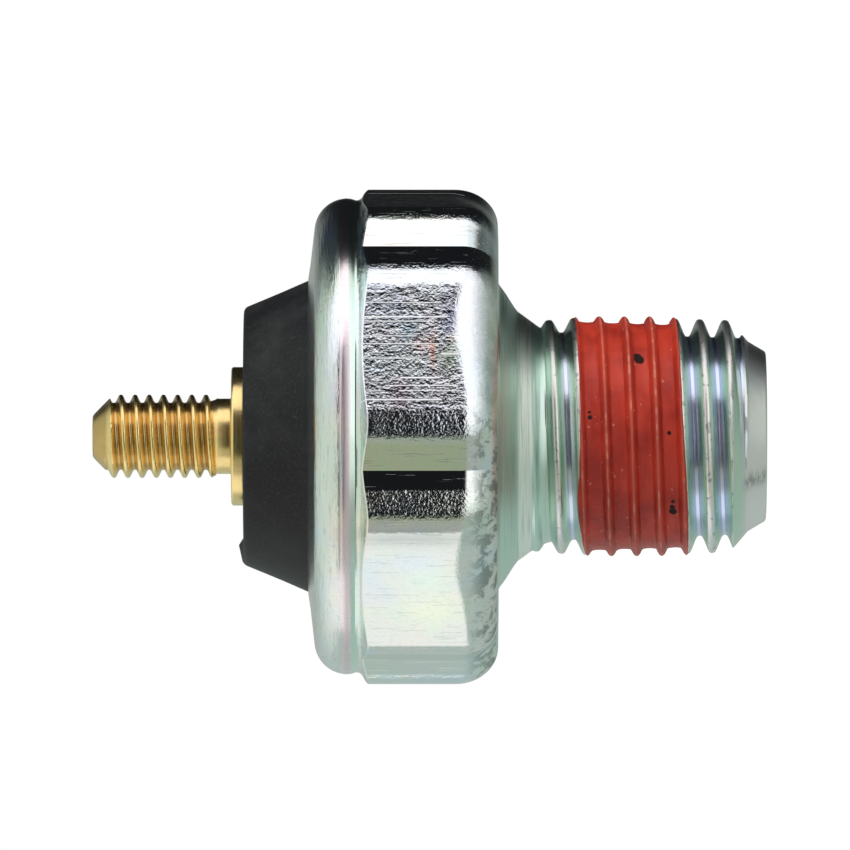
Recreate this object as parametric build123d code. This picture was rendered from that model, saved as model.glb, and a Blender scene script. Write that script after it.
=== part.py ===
"""Oil pressure sender with one stud terminal, standing on its threaded end.

The axis is +Z, and the origin is the centre of the threaded end face.
A cold-formed steel body holds, from the oil side up: a seal ring, a diaphragm,
a guide plate, a plunger that carries the contact disc, its spring, and the
moulded insulator with the terminal. The body's lip is rolled over the insulator.
All sizes are in millimetres.
"""

import os
from math import cos, radians, sin, tan

from build123d import *

# Tapered pipe thread on the steel body, 1/4-18, as its plain crest cone
port_crest_radius = 6.435
port_taper = 1 / 32
port_end_radius = 4.76
lead_in_length = 1.0
lead_in_angle = 30
thread_start_length = 1.5
port_length = 12.2
runout_length = 0.5

# Neck between the thread and the wide body, flaring in two cones
neck_radius = 6.16
flare_waist_radius = 7.0
flare_radius = 8.4
flare_first_length = 1.2
flare_second_length = 1.03

# Lobed hexagon: flats, with a V groove where each corner would be
hex_across_flats = 26.9
hex_height = 7.75
ridge_angle = 18.2
valley_depth = 0.81
ridge_round = 2.8
shoulder_round = 2.0
shoulder_round_steps = 3
hex_chamfer_angle = 27

# Crimped collar and its rolled lip
collar_step = 0.13
collar_height = 2.93
collar_round = 2.4
collar_round_steps = 5
lip_edge_radius = 8.74
lip_thickness = 1.4
lip_fall = 0.12

# Oil passage and the chamber inside the body
wall_thickness = 1.42
floor_thickness = 2.47
port_bore_radius = 2.25
drill_point_angle = 59
orifice_radius = 0.75
orifice_length = 1.4
recess_depth = 1.1
seal_land = 1.4
groove_width = 1.8
groove_depth = 1.1

# Clearances
press_gap = 0.02
slide_gap = 0.06
seat_gap = 0.03
ring_gap = 0.05
spring_gap = 0.4
well_gap = 0.8

# Parts of the pressure stack
diaphragm_thickness = 0.15
seal_edge_break = 0.5
guide_roof = 0.5
guide_edge_break = 0.3
contact_travel = 0.6
travel_spare = 0.12
plunger_head_radius = 5.6
plunger_head_thickness = 0.7
plunger_stem_radius = 1.5
plunger_edge_break = 0.15

# Contact, spring and terminal washer
contact_radius = 4.6
contact_thickness = 0.5
contact_boss_radius = 2.7
contact_boss_height = 0.5
contact_edge_break = 0.1
spring_wire = 0.6
spring_turns = 3.5
spring_turn_steps = 20
spring_wire_sides = 8
spring_height = 3.85
washer_rim = 1.0
washer_thickness = 0.6
washer_edge_break = 0.1

# Moulded insulator
insulator_cone_angle = 23.6
insulator_rise = 3.61
insulator_edge_break = 0.3
insulator_foot_break = 0.3

# Terminal stud, 10-32 thread as its plain crest cylinder
stud_shank_radius = 2.11
stud_thread_radius = 2.33
stud_collar_radius = 3.88
stud_collar_thickness = 0.7
stud_collar_break = 0.15
stud_bare_length = 1.15
stud_thread_length = 6.62
stud_tip_radius = 1.35
stud_thread_run_in = 0.25
rivet_head_thickness = 0.5
rivet_head_break = 0.2

# Band of sealant on the tapered thread
sealant_start_margin = 1.9
sealant_end_margin = 1.6
sealant_film = 0.06

# Heights that follow from the sizes above
thread_start = lead_in_length + thread_start_length
neck_height = port_length + runout_length
flare_waist_height = neck_height + flare_first_length
shoulder_height = flare_waist_height + flare_second_length
hex_top = shoulder_height + hex_height
body_top = hex_top + collar_height
lip_underside = body_top - lip_thickness
chamber_floor = shoulder_height + floor_thickness
recess_floor = chamber_floor - recess_depth
groove_floor = chamber_floor - groove_depth
guide_base = chamber_floor + diaphragm_thickness
plunger_base = guide_base + seat_gap
plunger_head_top = plunger_base + plunger_head_thickness
guide_recess_top = plunger_head_top + contact_travel + travel_spare
guide_top = guide_recess_top + guide_roof
contact_base = guide_top + seat_gap
contact_top = contact_base + contact_thickness
washer_base = contact_top + spring_height
well_roof = washer_base + washer_thickness
rivet_base = washer_base - rivet_head_thickness
insulator_height = body_top + insulator_rise
stud_collar_top = insulator_height + stud_collar_thickness
stud_thread_base = stud_collar_top + stud_bare_length
stud_top = stud_thread_base + stud_thread_length
sealant_start = thread_start + sealant_start_margin
sealant_end = port_length - sealant_end_margin

# Radii that follow from the sizes above
hex_apothem = hex_across_flats / 2
ridge_radius = hex_apothem / cos(radians(ridge_angle))
valley_radius = ridge_radius - valley_depth
collar_radius = hex_apothem - collar_step
chamber_radius = collar_radius - wall_thickness
stack_radius = chamber_radius - slide_gap
groove_outer = chamber_radius - seal_land
groove_inner = groove_outer - groove_width
recess_radius = groove_inner - seal_land
spring_mean_radius = contact_boss_radius + spring_gap + spring_wire / 2
well_radius = contact_radius + well_gap
washer_radius = well_radius - washer_rim
stud_hole_radius = stud_shank_radius + press_gap
insulator_taper = tan(radians(insulator_cone_angle))


def crest_radius(height):
    """Crest radius of the tapered port thread at a height."""
    return port_crest_radius + port_taper * height


def cone_radius(height):
    """Radius of the insulator's cone at a height."""
    return lip_edge_radius - press_gap + insulator_taper * (body_top - height)


def turned(*points):
    """Solid of revolution about Z from (radius, height) corners."""
    outline = Polyline(*points, close=True)
    return revolve(Plane.XZ * make_face(outline), axis=Axis.Z)


def lobed_section(size_factor, height):
    """One cross-section of the lobed hexagon, scaled about the axis."""
    corners = []
    rounds = []
    for flat in range(6):
        for angle, radius, corner_round in (
            (60 * flat - ridge_angle, ridge_radius, ridge_round),
            (60 * flat + ridge_angle, ridge_radius, ridge_round),
            (60 * flat + 30, valley_radius, 0),
        ):
            reach = radius * size_factor
            corners.append((reach * cos(radians(angle)), reach * sin(radians(angle))))
            rounds.append(corner_round * size_factor)
    outline = FilletPolyline(*corners, radius=rounds, close=True)
    return Pos(0, 0, height) * make_face(outline)


def lobed_hexagon():
    """The lobed block, rounded towards the neck and chamfered to the collar."""
    sections = []
    for step in range(shoulder_round_steps + 1):
        angle = radians(90 * step / shoulder_round_steps)
        inset = shoulder_round * (1 - sin(angle))
        height = shoulder_height + shoulder_round * (1 - cos(angle))
        sections.append(lobed_section(1 - inset / hex_apothem, height))
    sections.append(lobed_section(1, hex_top))
    block = loft(sections, ruled=True)

    chamfer_reach = ridge_radius + valley_depth
    chamfer_drop = (chamfer_reach - collar_radius) * tan(radians(hex_chamfer_angle))
    envelope = turned(
        (0, shoulder_height),
        (chamfer_reach, shoulder_height),
        (chamfer_reach, hex_top - chamfer_drop),
        (collar_radius, hex_top),
        (0, hex_top),
    )
    return block & envelope


def nipple_and_neck():
    """Tapered nipple at its crest size, run-out, neck and flare."""
    lead_radius = port_end_radius + lead_in_length * tan(radians(lead_in_angle))
    return turned(
        (0, 0),
        (port_end_radius, 0),
        (lead_radius, lead_in_length),
        (crest_radius(thread_start), thread_start),
        (crest_radius(port_length), port_length),
        (neck_radius, neck_height),
        (flare_waist_radius, flare_waist_height),
        (flare_radius, shoulder_height),
        (flare_radius, chamber_floor),
        (0, chamber_floor),
    )


def collar_and_lip():
    """Crimped collar, with the rolled lip that holds the insulator."""
    lip_foot = lip_edge_radius + insulator_taper * lip_thickness
    collar_foot = hex_top - shoulder_round
    roll_radius = collar_radius - collar_round
    roll_height = body_top - lip_fall - collar_round
    roll = []
    for step in range(collar_round_steps + 1):
        angle = radians(90 * step / collar_round_steps)
        roll.append((roll_radius + collar_round * cos(angle), roll_height + collar_round * sin(angle)))
    return turned(
        (lip_foot, lip_underside),
        (chamber_radius, lip_underside),
        (chamber_radius, collar_foot),
        (collar_radius, collar_foot),
        *roll,
        (lip_edge_radius, body_top),
    )


def oil_passage():
    """Drilled port, orifice, pressure recess, seal groove and chamber."""
    point_base = recess_floor - orifice_length
    point_height = (port_bore_radius - orifice_radius) / tan(radians(drill_point_angle))
    drilled = turned(
        (0, 0),
        (port_bore_radius, 0),
        (port_bore_radius, point_base - point_height),
        (orifice_radius, point_base),
        (orifice_radius, recess_floor),
        (recess_radius, recess_floor),
        (recess_radius, chamber_floor),
        (chamber_radius, chamber_floor),
        (chamber_radius, lip_underside),
        (0, lip_underside),
    )
    groove = turned(
        (groove_inner, groove_floor),
        (groove_outer, groove_floor),
        (groove_outer, chamber_floor),
        (groove_inner, chamber_floor),
    )
    return drilled + groove


def make_hex_body():
    """The steel body, one cold-formed and turned piece."""
    body = lobed_hexagon() + nipple_and_neck() + collar_and_lip()
    return body - oil_passage()


def make_thread_sealant():
    """Band of dried sealant that covers the middle of the tapered thread."""
    return turned(
        (crest_radius(sealant_start), sealant_start),
        (crest_radius(sealant_start) + sealant_film, sealant_start),
        (crest_radius(sealant_end) + sealant_film, sealant_end),
        (crest_radius(sealant_end), sealant_end),
    )


def make_seal_ring():
    """Rubber ring in its groove, pressed flat against the diaphragm."""
    inner = groove_inner + ring_gap
    outer = groove_outer - ring_gap
    middle = (groove_floor + chamber_floor) / 2
    return turned(
        (inner + seal_edge_break, groove_floor),
        (outer - seal_edge_break, groove_floor),
        (outer, middle),
        (outer - seal_edge_break, chamber_floor),
        (inner + seal_edge_break, chamber_floor),
        (inner, middle),
    )


def make_diaphragm():
    """Thin film disc between the oil and the switch parts."""
    return turned(
        (0, chamber_floor),
        (stack_radius, chamber_floor),
        (stack_radius, guide_base),
        (0, guide_base),
    )


def make_guide_plate():
    """Steel plate that clamps the diaphragm, guides the plunger and earths the contact."""
    recess_wall = plunger_head_radius + well_gap / 2
    hole = plunger_stem_radius + slide_gap
    return turned(
        (recess_wall, guide_base),
        (stack_radius, guide_base),
        (stack_radius, guide_top - guide_edge_break),
        (stack_radius - guide_edge_break, guide_top),
        (hole, guide_top),
        (hole, guide_recess_top),
        (recess_wall, guide_recess_top),
    )


def make_plunger():
    """Nylon plunger: a wide head on the diaphragm and a stem up to the contact."""
    return turned(
        (0, plunger_base),
        (plunger_head_radius - plunger_edge_break, plunger_base),
        (plunger_head_radius, plunger_base + plunger_edge_break),
        (plunger_head_radius, plunger_head_top - plunger_edge_break),
        (plunger_head_radius - plunger_edge_break, plunger_head_top),
        (plunger_stem_radius, plunger_head_top),
        (plunger_stem_radius, contact_base),
        (0, contact_base),
    )


def make_contact_disc():
    """Brass contact disc with a boss that centres the spring."""
    boss_top = contact_top + contact_boss_height
    return turned(
        (0, contact_base),
        (contact_radius - contact_edge_break, contact_base),
        (contact_radius, contact_base + contact_edge_break),
        (contact_radius, contact_top),
        (contact_boss_radius, contact_top),
        (contact_boss_radius, boss_top - contact_edge_break),
        (contact_boss_radius - contact_edge_break, boss_top),
        (0, boss_top),
    )


def make_contact_spring():
    """Compression spring between the contact disc and the washer, in short straight steps."""
    rise = spring_height - spring_wire
    steps = round(spring_turns * spring_turn_steps)
    points = []
    for step in range(steps + 1):
        angle = radians(360 * spring_turns * step / steps)
        height = contact_top + spring_wire / 2 + rise * step / steps
        points.append((spring_mean_radius * cos(angle), spring_mean_radius * sin(angle), height))
    path = Polyline(*points)
    section = RegularPolygon(spring_wire / 2, spring_wire_sides)
    start = Plane(origin=path @ 0, z_dir=path % 0)
    return sweep(start * section, path=path, transition=Transition.RIGHT)


def make_terminal_washer():
    """Brass washer riveted under the insulator, where the spring ends."""
    return turned(
        (stud_hole_radius, washer_base),
        (washer_radius - washer_edge_break, washer_base),
        (washer_radius, washer_base + washer_edge_break),
        (washer_radius, well_roof),
        (stud_hole_radius, well_roof),
    )


def make_insulator():
    """Black moulding: a foot under the rolled lip, a tapered boss and the spring well."""
    edge_height = insulator_height - insulator_edge_break
    return turned(
        (well_radius, guide_top),
        (stack_radius - insulator_foot_break, guide_top),
        (stack_radius, guide_top + insulator_foot_break),
        (stack_radius, lip_underside),
        (cone_radius(lip_underside), lip_underside),
        (cone_radius(edge_height), edge_height),
        (cone_radius(edge_height) - insulator_edge_break, insulator_height),
        (stud_hole_radius, insulator_height),
        (stud_hole_radius, well_roof),
        (well_radius, well_roof),
    )


def make_terminal_stud():
    """Brass terminal: riveted foot, shank, collar and threaded end, turned in one."""
    tip_length = stud_thread_radius - stud_tip_radius
    rivet_radius = contact_boss_radius
    return turned(
        (0, rivet_base),
        (rivet_radius - rivet_head_break, rivet_base),
        (rivet_radius, rivet_base + rivet_head_break),
        (rivet_radius, washer_base),
        (stud_shank_radius, washer_base),
        (stud_shank_radius, insulator_height),
        (stud_collar_radius, insulator_height),
        (stud_collar_radius, stud_collar_top - stud_collar_break),
        (stud_collar_radius - stud_collar_break, stud_collar_top),
        (stud_shank_radius, stud_collar_top),
        (stud_shank_radius, stud_thread_base),
        (stud_thread_radius, stud_thread_base + stud_thread_run_in),
        (stud_thread_radius, stud_top - tip_length),
        (stud_tip_radius, stud_top),
        (0, stud_top),
    )


def main():
    """Write one STEP file for each piece."""
    os.makedirs("parts", exist_ok=True)
    pieces = {
        "hex_body": make_hex_body(),
        "thread_sealant": make_thread_sealant(),
        "seal_ring": make_seal_ring(),
        "diaphragm": make_diaphragm(),
        "guide_plate": make_guide_plate(),
        "plunger": make_plunger(),
        "contact_disc": make_contact_disc(),
        "contact_spring": make_contact_spring(),
        "terminal_washer": make_terminal_washer(),
        "insulator": make_insulator(),
        "terminal_stud": make_terminal_stud(),
    }
    for name, piece in pieces.items():
        export_step(piece, f"parts/{name}.step")


main()
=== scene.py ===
"""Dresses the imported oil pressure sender: threads, sealant, finishes and studio.

Every length is in metres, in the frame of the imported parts: +Z runs from the
threaded end to the terminal, and +X is square to one flat of the hexagon.
"""

from math import atan2, cos, degrees, exp, pi, radians, sin, tan

import bmesh
import bpy
from bpy.props import FloatProperty, FloatVectorProperty, IntProperty, PointerProperty
from mathutils import Matrix, Vector


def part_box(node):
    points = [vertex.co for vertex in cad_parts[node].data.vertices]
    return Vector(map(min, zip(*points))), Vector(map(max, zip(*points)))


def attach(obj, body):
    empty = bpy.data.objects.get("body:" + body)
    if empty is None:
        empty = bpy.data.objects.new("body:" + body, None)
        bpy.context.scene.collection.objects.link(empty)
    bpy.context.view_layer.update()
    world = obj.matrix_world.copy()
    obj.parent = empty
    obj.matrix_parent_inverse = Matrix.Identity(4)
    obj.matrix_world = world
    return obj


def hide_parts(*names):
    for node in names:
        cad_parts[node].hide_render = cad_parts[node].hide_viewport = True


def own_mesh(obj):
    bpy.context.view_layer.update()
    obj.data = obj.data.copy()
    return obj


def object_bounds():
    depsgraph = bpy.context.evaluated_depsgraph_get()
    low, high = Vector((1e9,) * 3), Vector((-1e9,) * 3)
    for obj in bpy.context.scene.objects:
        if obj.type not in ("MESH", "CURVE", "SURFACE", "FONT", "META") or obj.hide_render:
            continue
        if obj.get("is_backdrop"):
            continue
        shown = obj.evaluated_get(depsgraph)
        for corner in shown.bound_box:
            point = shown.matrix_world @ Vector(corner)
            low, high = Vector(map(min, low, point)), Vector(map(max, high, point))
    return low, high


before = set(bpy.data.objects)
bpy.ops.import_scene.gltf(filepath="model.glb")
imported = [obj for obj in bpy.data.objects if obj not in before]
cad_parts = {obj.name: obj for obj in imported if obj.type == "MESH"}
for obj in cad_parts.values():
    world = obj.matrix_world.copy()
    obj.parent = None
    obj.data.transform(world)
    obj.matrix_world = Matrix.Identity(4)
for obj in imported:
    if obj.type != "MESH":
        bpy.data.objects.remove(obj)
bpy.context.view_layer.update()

bl_info = {
    "name": "Oil Pressure Sender",
    "version": (1, 0, 0),
    "blender": (4, 5, 0),
    "location": "View3D > Sidebar > Sender",
    "description": "Builds the dressed model of an engine oil pressure sender",
    "category": "Object",
}

MM = 0.001
# how the flare's lower cone widens with height, and the radius where the port thread starts
FLARE_SLOPE = 0.73
THREAD_START = 5.32 * MM
# radius and height on the flare's upper cone, in millimetres, and the radius where it ends
FLARE_RISE = ((7.24, 14.08), (7.58, 14.3), (7.95, 14.53), (8.22, 14.72), (8.4, 14.86))
FLARE_TOP = 8.62 * MM


def length(name, description, millimetres):
    """A length setting, given in millimetres and kept in metres."""
    return FloatProperty(
        name=name, description=description, default=millimetres * MM, unit="LENGTH", precision=5
    )


def angle(name, description, given):
    """An angle setting, given in degrees."""
    return FloatProperty(
        name=name, description=description, default=radians(given), subtype="ANGLE"
    )


def share(name, description, default):
    """A setting between nothing and all."""
    return FloatProperty(
        name=name, description=description, default=default, min=0, max=1, subtype="FACTOR"
    )


def colour(name, description, default):
    """A colour setting."""
    return FloatVectorProperty(
        name=name, description=description, default=default, min=0, max=1, subtype="COLOR"
    )


# Settings


class PortThreadSettings(bpy.types.PropertyGroup):
    """Tapered pipe thread on the body."""

    pitch: length("Pitch", "Distance from crest to crest", 25.4 / 18)
    crest_start: length("Crest start", "Height of one crest at the angle phase", 2.28)
    phase: angle("Phase", "Angle where the crest start is measured", 8.1)
    crest_radius: length("Crest radius", "Radius of the crest cone at the end face", 6.44)
    taper: FloatProperty(name="Taper", description="Rise of radius per length", default=1 / 32)
    crest_top: length("Crest top", "Largest radius that a crest reaches", 6.64)
    depth: length("Depth", "Depth of the thread", 0.98)
    crest_share: share("Crest share", "Part of the pitch that is flat crest", 0.16)
    root_share: share("Root share", "Part of the pitch that is flat root", 0.12)
    softness: share("Softness", "How rounded crest and root are", 0.7)
    low_end: length("Low end", "Height where the thread starts", 1.0)
    high_end: length("High end", "Height where the flare takes over", 13.75)
    columns: IntProperty(name="Columns", description="Points round the axis", default=288)
    rows: IntProperty(name="Rows", description="Rows in one pitch", default=16)


class StudSettings(bpy.types.PropertyGroup):
    """Terminal stud and its thread."""

    pitch: length("Pitch", "Distance from crest to crest", 25.4 / 32)
    crest_start: length("Crest start", "Height of one crest at the angle phase", 32.145)
    phase: angle("Phase", "Angle where the crest start is measured", 8.1)
    crest_radius: length("Crest radius", "Outside radius of the thread", 2.33)
    depth: length("Depth", "Depth of the thread", 0.45)
    crest_share: share("Crest share", "Part of the pitch that is flat crest", 0.15)
    root_share: share("Root share", "Part of the pitch that is flat root", 0.15)
    softness: share("Softness", "How rounded crest and root are", 0.8)
    shank_radius: length("Shank radius", "Radius of the plain shank", 2.11)
    collar_radius: length("Collar radius", "Radius of the collar", 3.88)
    collar_break: length("Collar break", "Rounding of the collar's edge", 0.15)
    tip_radius: length("Tip radius", "Radius of the flat tip", 1.25)
    columns: IntProperty(name="Columns", description="Points round the axis", default=96)
    rows: IntProperty(name="Rows", description="Rows in one pitch", default=16)


class BodySettings(bpy.types.PropertyGroup):
    """Steel body: end, flare, lobed hexagon, collar and lip."""

    ridge_angle: angle("Ridge angle", "Half the angle from ridge to ridge of a flat", 18.9)
    valley_depth: length("Valley depth", "Depth of the V groove between two flats", 0.8)
    ridge_round: length("Ridge round", "Rounding where a flat meets a V groove", 2.7)
    shoulder_round: length("Shoulder round", "Rounding of the hexagon towards the neck", 2.0)
    flat_round: length("Flat round", "How much longer the rounding is along a flat", 0.9)
    flat_skew: length("Flat skew", "How far that longer rounding lies from the flat's middle", 1.5)
    flat_reach: length("Flat reach", "Spread of the longer rounding along a flat", 2.8)
    shoulder_height: length("Shoulder height", "Height of the hexagon's lower face", 14.99)
    hexagon_height: length("Hexagon height", "Height of the hexagon", 7.69)
    chamfer_angle: angle("Chamfer angle", "Slope of the hexagon's chamfer", 27.0)
    collar_step: length("Collar step", "How far the collar stands back from the flats", 0.13)
    collar_foot: length("Collar foot", "Fillet between the collar and the hexagon", 0.4)
    collar_bulge: length("Collar bulge", "Radius of the collar's bulging wall", 1.25)
    bulge_height: length("Bulge height", "Height where the collar is widest", 23.47)
    roll_height: length("Roll height", "Height where the rolled edge starts", 23.84)
    collar_round: length("Collar round", "Rounding of the rolled collar", 1.85)
    lip_radius: length("Lip radius", "Radius of the lip's inner edge", 8.74)
    lip_thickness: length("Lip thickness", "Thickness of the rolled lip", 1.4)
    lip_cone: angle("Lip cone", "Slope of the cone that the lip holds", 23.6)
    flare_waist: length("Flare waist", "Radius where the flare steepens", 7.0)
    flare_waist_height: length("Flare waist height", "Height where the flare steepens", 13.9)
    end_radius: length("End radius", "Radius of the threaded end face", 4.7)
    bore_radius: length("Bore radius", "Radius of the oil port", 2.25)
    orifice_radius: length("Orifice radius", "Radius of the oil port's orifice", 0.75)
    drill_point: length("Drill point", "Length of the oil port's drill point", 0.9)
    orifice_length: length("Orifice length", "Length of the orifice", 1.4)
    wall: length("Wall", "Thickness of the wall round the chamber", 1.42)
    seal_land: length("Seal land", "Flat land beside the seal groove", 1.4)
    groove_width: length("Groove width", "Width of the seal groove", 1.8)
    recess_depth: length("Recess depth", "Depth of the pressure recess and the seal groove", 1.1)


class SealantSettings(bpy.types.PropertyGroup):
    """Band of dried sealant."""

    low_crest: IntProperty(
        name="Low crest", description="Crest that the lower edge follows", default=2
    )
    high_crest: IntProperty(
        name="High crest", description="Crest that the upper edge follows", default=6
    )
    film: length("Film", "Thickness over the crests", 0.035)
    fill: length("Fill", "How far the filled grooves lie under the crests", 0.33)
    sag: length("Sag", "Further fall at the middle of a filled groove", 0.04)
    rows: IntProperty(name="Rows", description="Rows in one pitch", default=16)


class InsulatorSettings(bpy.types.PropertyGroup):
    """Black moulding."""

    edge_round: length("Edge round", "Rounding of the front edge", 0.38)
    nub_radius: length("Nub radius", "Distance of the gate mark from the axis", 6.05)
    nub_angle: angle("Nub angle", "Where the gate mark is", -171.0)
    nub_height: length("Nub height", "How far the gate mark stands proud", 0.3)
    columns: IntProperty(name="Columns", description="Points round the axis", default=180)


class SpringSettings(bpy.types.PropertyGroup):
    """Contact spring inside the body."""

    wire: length("Wire", "Diameter of the wire", 0.6)
    turns: FloatProperty(name="Turns", description="Number of turns", default=3.5)
    steps: IntProperty(name="Steps", description="Steps in one turn", default=48)
    sides: IntProperty(name="Sides", description="Sides of the round wire", default=16)


class FinishSettings(bpy.types.PropertyGroup):
    """Colours of the finishes."""

    zinc: colour("Zinc", "Zinc plated steel", (0.79, 0.80, 0.77))
    sealant: colour("Sealant", "Dried sealant", (0.52, 0.042, 0.020))
    moulding: colour("Moulding", "Black moulding", (0.009, 0.009, 0.010))
    brass: colour("Brass", "Terminal brass", (0.94, 0.70, 0.32))
    rubber: colour("Rubber", "Seal rubber", (0.02, 0.02, 0.02))
    film: colour("Film", "Amber diaphragm film", (0.7, 0.35, 0.08))
    nylon: colour("Nylon", "Natural nylon", (0.82, 0.8, 0.72))


class StageSettings(bpy.types.PropertyGroup):
    """Camera: its angle, distance, width of view and centre."""

    view_angle: angle("View angle", "Direction of the photograph's top edge from +X", 8.1)
    view_distance: length("View distance", "Camera's distance from the axis", 900.0)
    view_width: length("View width", "Width of the photograph at the axis", 47.62)
    centre_height: length("Centre height", "Height on the axis at the photograph's middle", 19.08)
    centre_rise: length("Centre rise", "How far the photograph's middle lies over the axis", 0.633)


# Node graphs


class Term:
    """A value in a node graph; arithmetic on it adds Math nodes."""

    def __init__(self, graph, socket):
        self.graph = graph
        self.socket = socket

    def __add__(self, other):
        return self.graph.maths("ADD", self, other)

    __radd__ = __add__

    def __sub__(self, other):
        return self.graph.maths("SUBTRACT", self, other)

    def __rsub__(self, other):
        return self.graph.maths("SUBTRACT", other, self)

    def __mul__(self, other):
        return self.graph.maths("MULTIPLY", self, other)

    __rmul__ = __mul__

    def __truediv__(self, other):
        return self.graph.maths("DIVIDE", self, other)

    def __rtruediv__(self, other):
        return self.graph.maths("DIVIDE", other, self)

    def __neg__(self):
        return self.graph.maths("MULTIPLY", self, -1)


class Graph:
    """Adds nodes to one node tree and links them."""

    def __init__(self, tree):
        self.tree = tree

    def feed(self, socket, value):
        """Links a term to a socket, or sets the socket's own value."""
        if isinstance(value, Term):
            self.tree.links.new(value.socket, socket)
        else:
            socket.default_value = value

    def fill(self, made, inputs):
        """Feeds several sockets of a node."""
        for key, value in inputs.items():
            self.feed(made.inputs[key], value)

    def node(self, kind, inputs=None, settings=None, stops=None):
        """One node: its type, the values or links of its sockets, its settings, a ramp's stops."""
        made = self.tree.nodes.new(kind)
        for name, value in (settings or {}).items():
            setattr(made, name, value)
        if stops:
            elements = made.color_ramp.elements
            while len(elements) < len(stops):
                elements.new(1)
            for element, (place, tint) in zip(elements, stops):
                element.position = place
                element.color = tint
        self.fill(made, inputs or {})
        return made

    def term(self, kind, inputs=None, settings=None, stops=None, output=0):
        """One output of a new node, as a term."""
        return Term(self, self.node(kind, inputs, settings, stops).outputs[output])

    def maths(self, operation, *values):
        """A Math node."""
        return self.term("ShaderNodeMath", dict(enumerate(values)), {"operation": operation})

    def larger(self, first, second):
        """The larger of two values."""
        return self.maths("MAXIMUM", first, second)

    def smaller(self, first, second):
        """The smaller of two values."""
        return self.maths("MINIMUM", first, second)

    def clamp(self, value, low=0, high=1):
        """A value kept between two limits."""
        return self.smaller(self.larger(value, low), high)

    def step(self, value, low, high):
        """A smooth rise from 0 at low to 1 at high."""
        inputs = {"Value": value, "From Min": low, "From Max": high}
        return self.term("ShaderNodeMapRange", inputs, {"interpolation_type": "SMOOTHSTEP"})

    def past(self, value, low, high):
        """A smooth rise between two lengths, which are given in millimetres."""
        return self.step(value, low * MM, high * MM)

    def falloff(self, distance, size):
        """1 where a distance is nothing, falling softly to 0 over a size."""
        ratio = distance / size
        return self.maths("EXPONENT", -(ratio * ratio))

    def mix(self, factor, first, second):
        """A mix of two colours."""
        inputs = {0: factor, 6: first, 7: second}
        return self.term("ShaderNodeMix", inputs, {"data_type": "RGBA"}, output=2)

    def layered(self, tint, layers):
        """A colour with others laid over it in turn, each by its own share."""
        base = rgba(tint)
        for part, over in layers:
            base = self.mix(part, base, rgba(over))
        return base

    def vector(self, x, y, z):
        """A vector from three values."""
        return self.term("ShaderNodeCombineXYZ", {0: x, 1: y, 2: z})

    def parts(self, vector):
        """The three values of a vector."""
        split = self.node("ShaderNodeSeparateXYZ", {0: vector})
        return [Term(self, split.outputs[part]) for part in range(3)]

    def polar(self, place):
        """A place's x, y and z, its distance from the axis and its angle round it."""
        x, y, z = self.parts(place)
        return x, y, z, self.maths("SQRT", x * x + y * y), self.maths("ARCTAN2", y, x)

    def noise(self, vector, scale, detail=2, roughness=0.5, distortion=0):
        """Noise between 0 and 1."""
        inputs = {
            "Vector": vector,
            "Scale": scale,
            "Detail": detail,
            "Roughness": roughness,
            "Distortion": distortion,
        }
        return self.term("ShaderNodeTexNoise", inputs)


def rgba(tint):
    """A colour setting with full alpha."""
    return (tint[0], tint[1], tint[2], 1)


# Meshes


def ring_points(angles, reach, height):
    """Points of one ring; reach and height are each one value or a list of them."""
    reaches = reach if isinstance(reach, list) else [reach] * len(angles)
    heights = height if isinstance(height, list) else [height] * len(angles)
    return [
        (radius * cos(turn), radius * sin(turn), level)
        for turn, radius, level in zip(angles, reaches, heights)
    ]


def bridge(mesh, low, high):
    """Faces between two rings with the same number of points."""
    count = len(low)
    for index in range(count):
        after = (index + 1) % count
        mesh.faces.new((low[index], low[after], high[after], high[index]))


def loft(mesh, rings):
    """Joins rings in order and returns their vertices."""
    made = [[mesh.verts.new(point) for point in points] for points in rings]
    for low, high in zip(made, made[1:]):
        bridge(mesh, low, high)
    return made


def finished(mesh, name, material=None):
    """An object from a bmesh."""
    data = bpy.data.meshes.new(name)
    mesh.to_mesh(data)
    mesh.free()
    if material:
        data.materials.append(material)
    piece = bpy.data.objects.new(name, data)
    bpy.context.scene.collection.objects.link(piece)
    return piece


def smooth(piece, edge_angle=40, crisp_band=None, crisp_angle=0):
    """Points the faces outwards and shades them smooth up to an edge angle.

    In a band of heights, edges over a smaller angle are kept crisp too.
    """
    mesh = bmesh.new()
    mesh.from_mesh(piece.data)
    bmesh.ops.recalc_face_normals(mesh, faces=mesh.faces)
    mesh.to_mesh(piece.data)
    mesh.free()
    piece.data.shade_smooth()
    piece.data.set_sharp_from_angle(angle=radians(edge_angle))
    if crisp_band is None:
        return
    mesh = bmesh.new()
    mesh.from_mesh(piece.data)
    for edge in mesh.edges:
        inside = all(crisp_band[0] < vert.co.z < crisp_band[1] for vert in edge.verts)
        if inside and len(edge.link_faces) == 2 and edge.calc_face_angle() > radians(crisp_angle):
            edge.smooth = False
    mesh.to_mesh(piece.data)
    mesh.free()


def even_angles(count):
    """Angles at equal steps round the axis."""
    return [2 * pi * index / count for index in range(count)]


def arc(centre_reach, centre_height, radius, start, end, steps):
    """(radius, height) points of an arc in a turned outline, angles in degrees."""
    points = []
    for index in range(steps + 1):
        turn = radians(start + (end - start) * index / steps)
        points.append((centre_reach + radius * cos(turn), centre_height + radius * sin(turn)))
    return points


# Geometry node trees


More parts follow.
